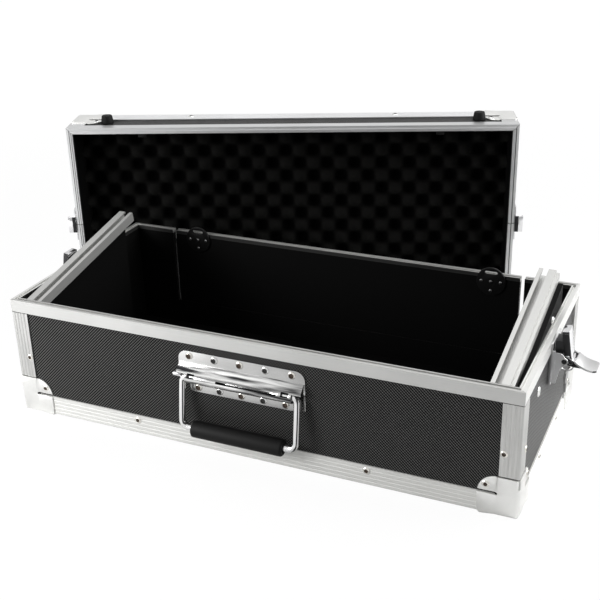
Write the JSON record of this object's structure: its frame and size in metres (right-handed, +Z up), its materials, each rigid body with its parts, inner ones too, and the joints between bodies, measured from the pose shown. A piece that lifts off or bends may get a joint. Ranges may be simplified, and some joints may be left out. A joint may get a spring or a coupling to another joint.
{
  "type": "slanted rack case with lift-off lid",
  "caption": "Shallow flight case with sloping slotted rack rails, draw latches, drop handle, rear cable flap and a lift-off foam-lined lid standing behind it",
  "frame": {"origin": "centre of the base's footprint on the floor it stands on", "axes": "+X to the case's right, +Y to the back with the cable flap, +Z up; the handle and the low end of the rails face -Y"},
  "size_m": [0.6497, 0.4743, 0.2432],
  "materials": {
    "aluminium": "mill-finish extruded aluminium with lengthwise flutes",
    "black_laminate": "matt black finely textured plastic laminate on plywood",
    "zinc_steel": "bright zinc-plated pressed steel",
    "bright_steel": "nickel-plated steel",
    "black_steel": "semi-gloss black plated steel",
    "black_rubber": "matt black rubber",
    "black_foam": "open-cell black polyurethane foam with an egg-crate face"
  },
  "bodies": {
    "case": {"front_rim": "aluminium", "left_rim": "aluminium", "right_rim": "aluminium", "back_rim_left": "aluminium", "back_rim_right": "aluminium", "front_left_post": "aluminium", "front_right_post": "aluminium", "back_left_post": "aluminium", "back_right_post": "aluminium", "front_bottom_edge": "aluminium", "back_bottom_edge": "aluminium", "left_bottom_edge": "aluminium", "right_bottom_edge": "aluminium", "left_rail": "aluminium", "right_rail": "aluminium", "floor_panel": "black_laminate", "front_panel": "black_laminate", "left_panel": "black_laminate", "right_panel": "black_laminate", "back_panel": "black_laminate", "left_rail_board": "black_laminate", "right_rail_board": "black_laminate", "front_left_protector": "zinc_steel", "front_right_protector": "zinc_steel", "back_left_protector": "zinc_steel", "back_right_protector": "zinc_steel", "handle_plate": "zinc_steel", "flap_hinge_fixed": "zinc_steel", "key_ring": "zinc_steel", "left_latch_base": "bright_steel", "right_latch_base": "bright_steel", "key_1": "bright_steel", "key_2": "bright_steel"},
    "lid": {"lid_rim": "aluminium", "lid_edges": "aluminium", "lid_top_panel": "black_laminate", "lid_walls": "black_laminate", "lid_front_left_protector": "zinc_steel", "lid_front_right_protector": "zinc_steel", "lid_back_left_protector": "zinc_steel", "lid_back_right_protector": "zinc_steel", "lid_catch_left": "bright_steel", "lid_catch_right": "bright_steel", "lid_tongue_left": "black_steel", "lid_tongue_right": "black_steel", "lid_foot_left": "black_rubber", "lid_foot_right": "black_rubber", "lid_foam": "black_foam"},
    "handle": {"handle_bail": "bright_steel", "handle_grip": "black_rubber"},
    "flap": {"cable_flap": "black_laminate", "flap_rim": "aluminium", "left_keeper_disc": "black_steel", "right_keeper_disc": "black_steel", "flap_hinge_leaf": "zinc_steel"},
    "left_lever": {"left_latch_lever": "bright_steel"},
    "right_lever": {"right_latch_lever": "bright_steel"},
    "left_hook": {"left_latch_hook": "zinc_steel"},
    "right_hook": {"right_latch_hook": "zinc_steel"}
  },
  "joints": [
    {"name": "lid_lift", "type": "slide", "parent": "case", "child": "lid", "axis": [0, 0, 1], "range_m": [0, 0.3]},
    {"name": "handle_swing", "type": "hinge", "parent": "case", "child": "handle", "pos_m": [-0.0028, -0.1218, 0.08], "axis": [-1, 0, 0], "range_deg": [0, 85]},
    {"name": "flap_fold", "type": "hinge", "parent": "case", "child": "flap", "pos_m": [0, 0.1183, 0.0366], "axis": [-1, 0, 0], "range_deg": [0, 40]},
    {"name": "left_lever_swing", "type": "hinge", "parent": "case", "child": "left_lever", "pos_m": [-0.2688, 0, 0.104], "axis": [0, -1, 0], "range_deg": [0, 75]},
    {"name": "left_hook_swing", "type": "hinge", "parent": "left_lever", "child": "left_hook", "pos_m": [-0.27403, 0, 0.1023], "axis": [0, -1, 0], "range_deg": [-66, 0]},
    {"name": "right_lever_swing", "type": "hinge", "parent": "case", "child": "right_lever", "pos_m": [0.2688, 0, 0.104], "axis": [0, 1, 0], "range_deg": [0, 75]},
    {"name": "right_hook_swing", "type": "hinge", "parent": "right_lever", "child": "right_hook", "pos_m": [0.27403, 0, 0.1023], "axis": [0, 1, 0], "range_deg": [-66, 0]}
  ],
  "couplings": [
    {"joint": "left_hook_swing", "follows": "left_lever_swing", "ratio": -0.88},
    {"joint": "right_hook_swing", "follows": "right_lever_swing", "ratio": -0.88}
  ]
}
